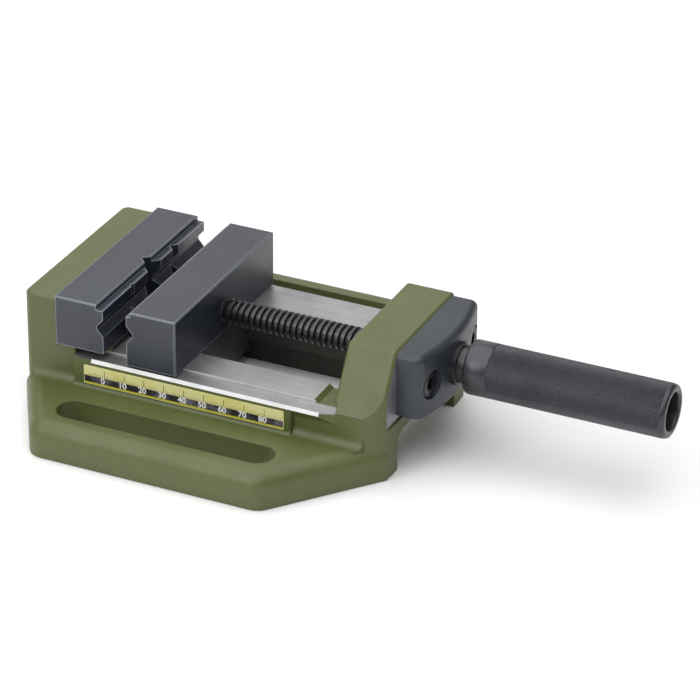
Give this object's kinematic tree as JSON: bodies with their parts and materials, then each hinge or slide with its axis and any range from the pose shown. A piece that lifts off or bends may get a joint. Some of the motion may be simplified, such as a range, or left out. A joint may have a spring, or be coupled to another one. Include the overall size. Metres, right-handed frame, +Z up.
{
  "type": "machine vise",
  "caption": "Low drill-press vise: slotted cast base with ground ways, grooved steel jaws, screw spindle in a bearing cap and a knurled tube handle.",
  "frame": {"origin": "centre of the base's underside", "axes": "+Z up, +Y along the spindle from the handle to the fixed jaw, +X across the jaws"},
  "size_m": [0.183, 0.2945, 0.0591],
  "materials": {
    "green_paint": "thick olive-green paint over cast iron, with ground ways, ledges and slopes left bare",
    "jaw_steel": "blackened steel with ground top faces",
    "cap_steel": "blackened steel, milled",
    "bright_steel": "turned steel, oiled",
    "handle_steel": "knurled blackened steel",
    "fastener_steel": "black oxide fasteners",
    "bronze": "plain bearing bronze",
    "scale_enamel": "thin metal strip, yellow-green and black bands with a millimetre scale"
  },
  "bodies": {
    "frame": {"body_casting": "green_paint", "scale_plate": "scale_enamel", "fixed_jaw": "jaw_steel", "fixed_jaw_screws": "fastener_steel", "fixed_jaw_dowels": "bright_steel", "bearing_cap": "cap_steel", "cap_screws": "fastener_steel", "cap_dowels": "bright_steel", "thrust_washer_rear": "bronze", "thrust_washer_front": "bronze"},
    "carriage": {"moving_jaw": "jaw_steel", "guide_block": "bright_steel", "guide_dowels": "bright_steel", "keeper_plate": "bright_steel", "keeper_screws": "fastener_steel", "keeper_washers": "bright_steel", "spindle": "bright_steel", "spindle_lock_pin": "bright_steel"},
    "drive": {"drive_nut": "bright_steel", "handle": "handle_steel", "handle_grub_screws": "fastener_steel"}
  },
  "joints": [
    {"name": "jaw_slide", "type": "slide", "parent": "frame", "child": "carriage", "axis": [0, 1, 0], "range_m": [-0.0633, 0.0114]},
    {"name": "handle_turn", "type": "hinge", "parent": "frame", "child": "drive", "pos_m": [0, -0.088, 0.042], "axis": [0, 1, 0], "range_deg": [-7600, 1370]}
  ],
  "couplings": [
    {"joint": "handle_turn", "follows": "jaw_slide", "rad_per_m": 2094.4}
  ]
}
